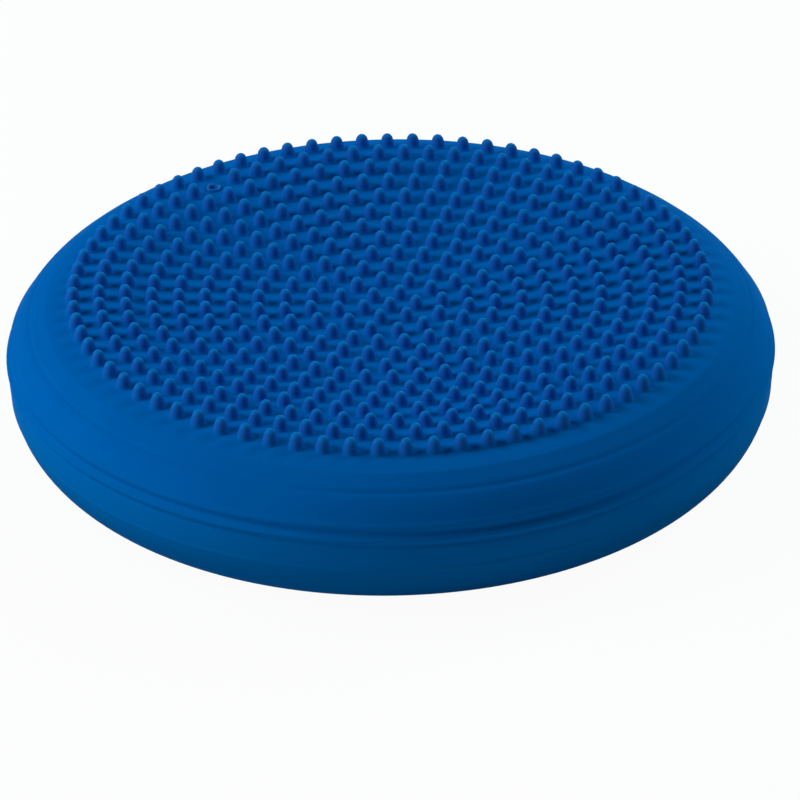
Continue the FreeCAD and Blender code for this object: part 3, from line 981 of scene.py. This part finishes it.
def soft_box(name, azimuth, elevation, size, power, tint):
    """A square lamp that faces the cushion, placed by its bearing and its height in degrees."""
    data = bpy.data.lights.new(name, "AREA")
    data.shape = "SQUARE"
    data.size = size
    data.energy = power
    data.color = tint
    lamp = bpy.data.objects.new(name, data)
    bpy.context.scene.collection.objects.link(lamp)
    flat = LAMP_DISTANCE * cosine(elevation)
    lamp.location = (flat * cosine(azimuth), flat * sine(azimuth), LAMP_DISTANCE * sine(elevation))
    lamp.rotation_euler = (LAMP_TARGET - lamp.location).to_track_quat("-Z", "Y").to_euler()


soft_box("left_box", azimuth=184, elevation=36, size=1.0, power=24.8, tint=(0.85, 1, 0.95))
soft_box("far_right_box", azimuth=30, elevation=34, size=1.0, power=17.0, tint=(0.5, 1, 0.87))
soft_box("rim_strip", azimuth=75, elevation=12, size=0.6, power=10.0, tint=(0.3, 0.95, 1))
print("lamps:", [lamp.name for lamp in bpy.data.lights])

# %% White surround
WORLD_ON_OBJECT = 0.13


def sees_white(make):
    """1 for rays from the camera, through glass or off a gloss, and 0 for rays that light things."""
    path = make("ShaderNodeLightPath")
    through = make("ShaderNodeMath", {
        0: path.outputs["Is Camera Ray"], 1: path.outputs["Is Transmission Ray"],
    }, operation="MAXIMUM")
    glossy = make("ShaderNodeMath", {
        0: through.outputs[0], 1: path.outputs["Is Glossy Ray"],
    }, operation="MAXIMUM")
    return glossy.outputs[0]


world = bpy.data.worlds.new("surround")
world.use_nodes = True
bpy.context.scene.world = world
make = node_maker(world.node_tree.nodes, world.node_tree.links)
strength = make("ShaderNodeMapRange", {
    "Value": sees_white(make), "To Min": WORLD_ON_OBJECT, "To Max": 1.0,
})
backdrop = world.node_tree.nodes["Background"]
backdrop.inputs["Color"].default_value = (1, 1, 1, 1)
world.node_tree.links.new(strength.outputs[0], backdrop.inputs["Strength"])
print("surround lights the cushion at", WORLD_ON_OBJECT)

# %% White floor
FLOOR_RADIUS = 30.0
FLOOR_GLOW = 0.95
FLOOR_PAINT = (0.8, 0.8, 0.8, 1)
FLOOR_ROUGHNESS = 0.9
FLOOR_GAP = 0.2 * MM

floor_work = bmesh.new()
bmesh.ops.create_circle(floor_work, cap_ends=True, radius=FLOOR_RADIUS, segments=64)
floor_mesh = bpy.data.meshes.new("floor")
floor_work.to_mesh(floor_mesh)
floor_work.free()
floor = plain_object("floor", floor_mesh)
floor.location.z = -FLOOR_GAP

floor_white = bpy.data.materials.new("floor_white")
floor_white.use_nodes = True
make = node_maker(floor_white.node_tree.nodes, floor_white.node_tree.links)
paint = floor_white.node_tree.nodes["Principled BSDF"]
paint.inputs["Base Color"].default_value = FLOOR_PAINT
paint.inputs["Roughness"].default_value = FLOOR_ROUGHNESS
glow = make("ShaderNodeEmission", {"Strength": 1.0})
glow_share = make("ShaderNodeMath", {0: sees_white(make), 1: FLOOR_GLOW}, operation="MULTIPLY")
blend = make("ShaderNodeMixShader", {0: glow_share.outputs[0], 1: paint.outputs[0], 2: glow.outputs[0]})
surface = floor_white.node_tree.nodes["Material Output"].inputs["Surface"]
floor_white.node_tree.links.new(blend.outputs[0], surface)
floor_mesh.materials.append(floor_white)
floor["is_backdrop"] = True
bpy.context.scene.view_settings.view_transform = "Standard"
print("floor reaches", FLOOR_RADIUS, "m out")

# %% [markdown]
# The boxes of the packed model and of the finished one are written side by side, so that their
# sizes can be compared.

# %% Write the sizes and finish
model_low, model_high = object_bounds()
for name, (low, high) in (("cad", (cad_low, cad_high)), ("scene", (model_low, model_high))):
    print(name, [round((high[i] - low[i]) / MM, 2) for i in range(3)], "mm")
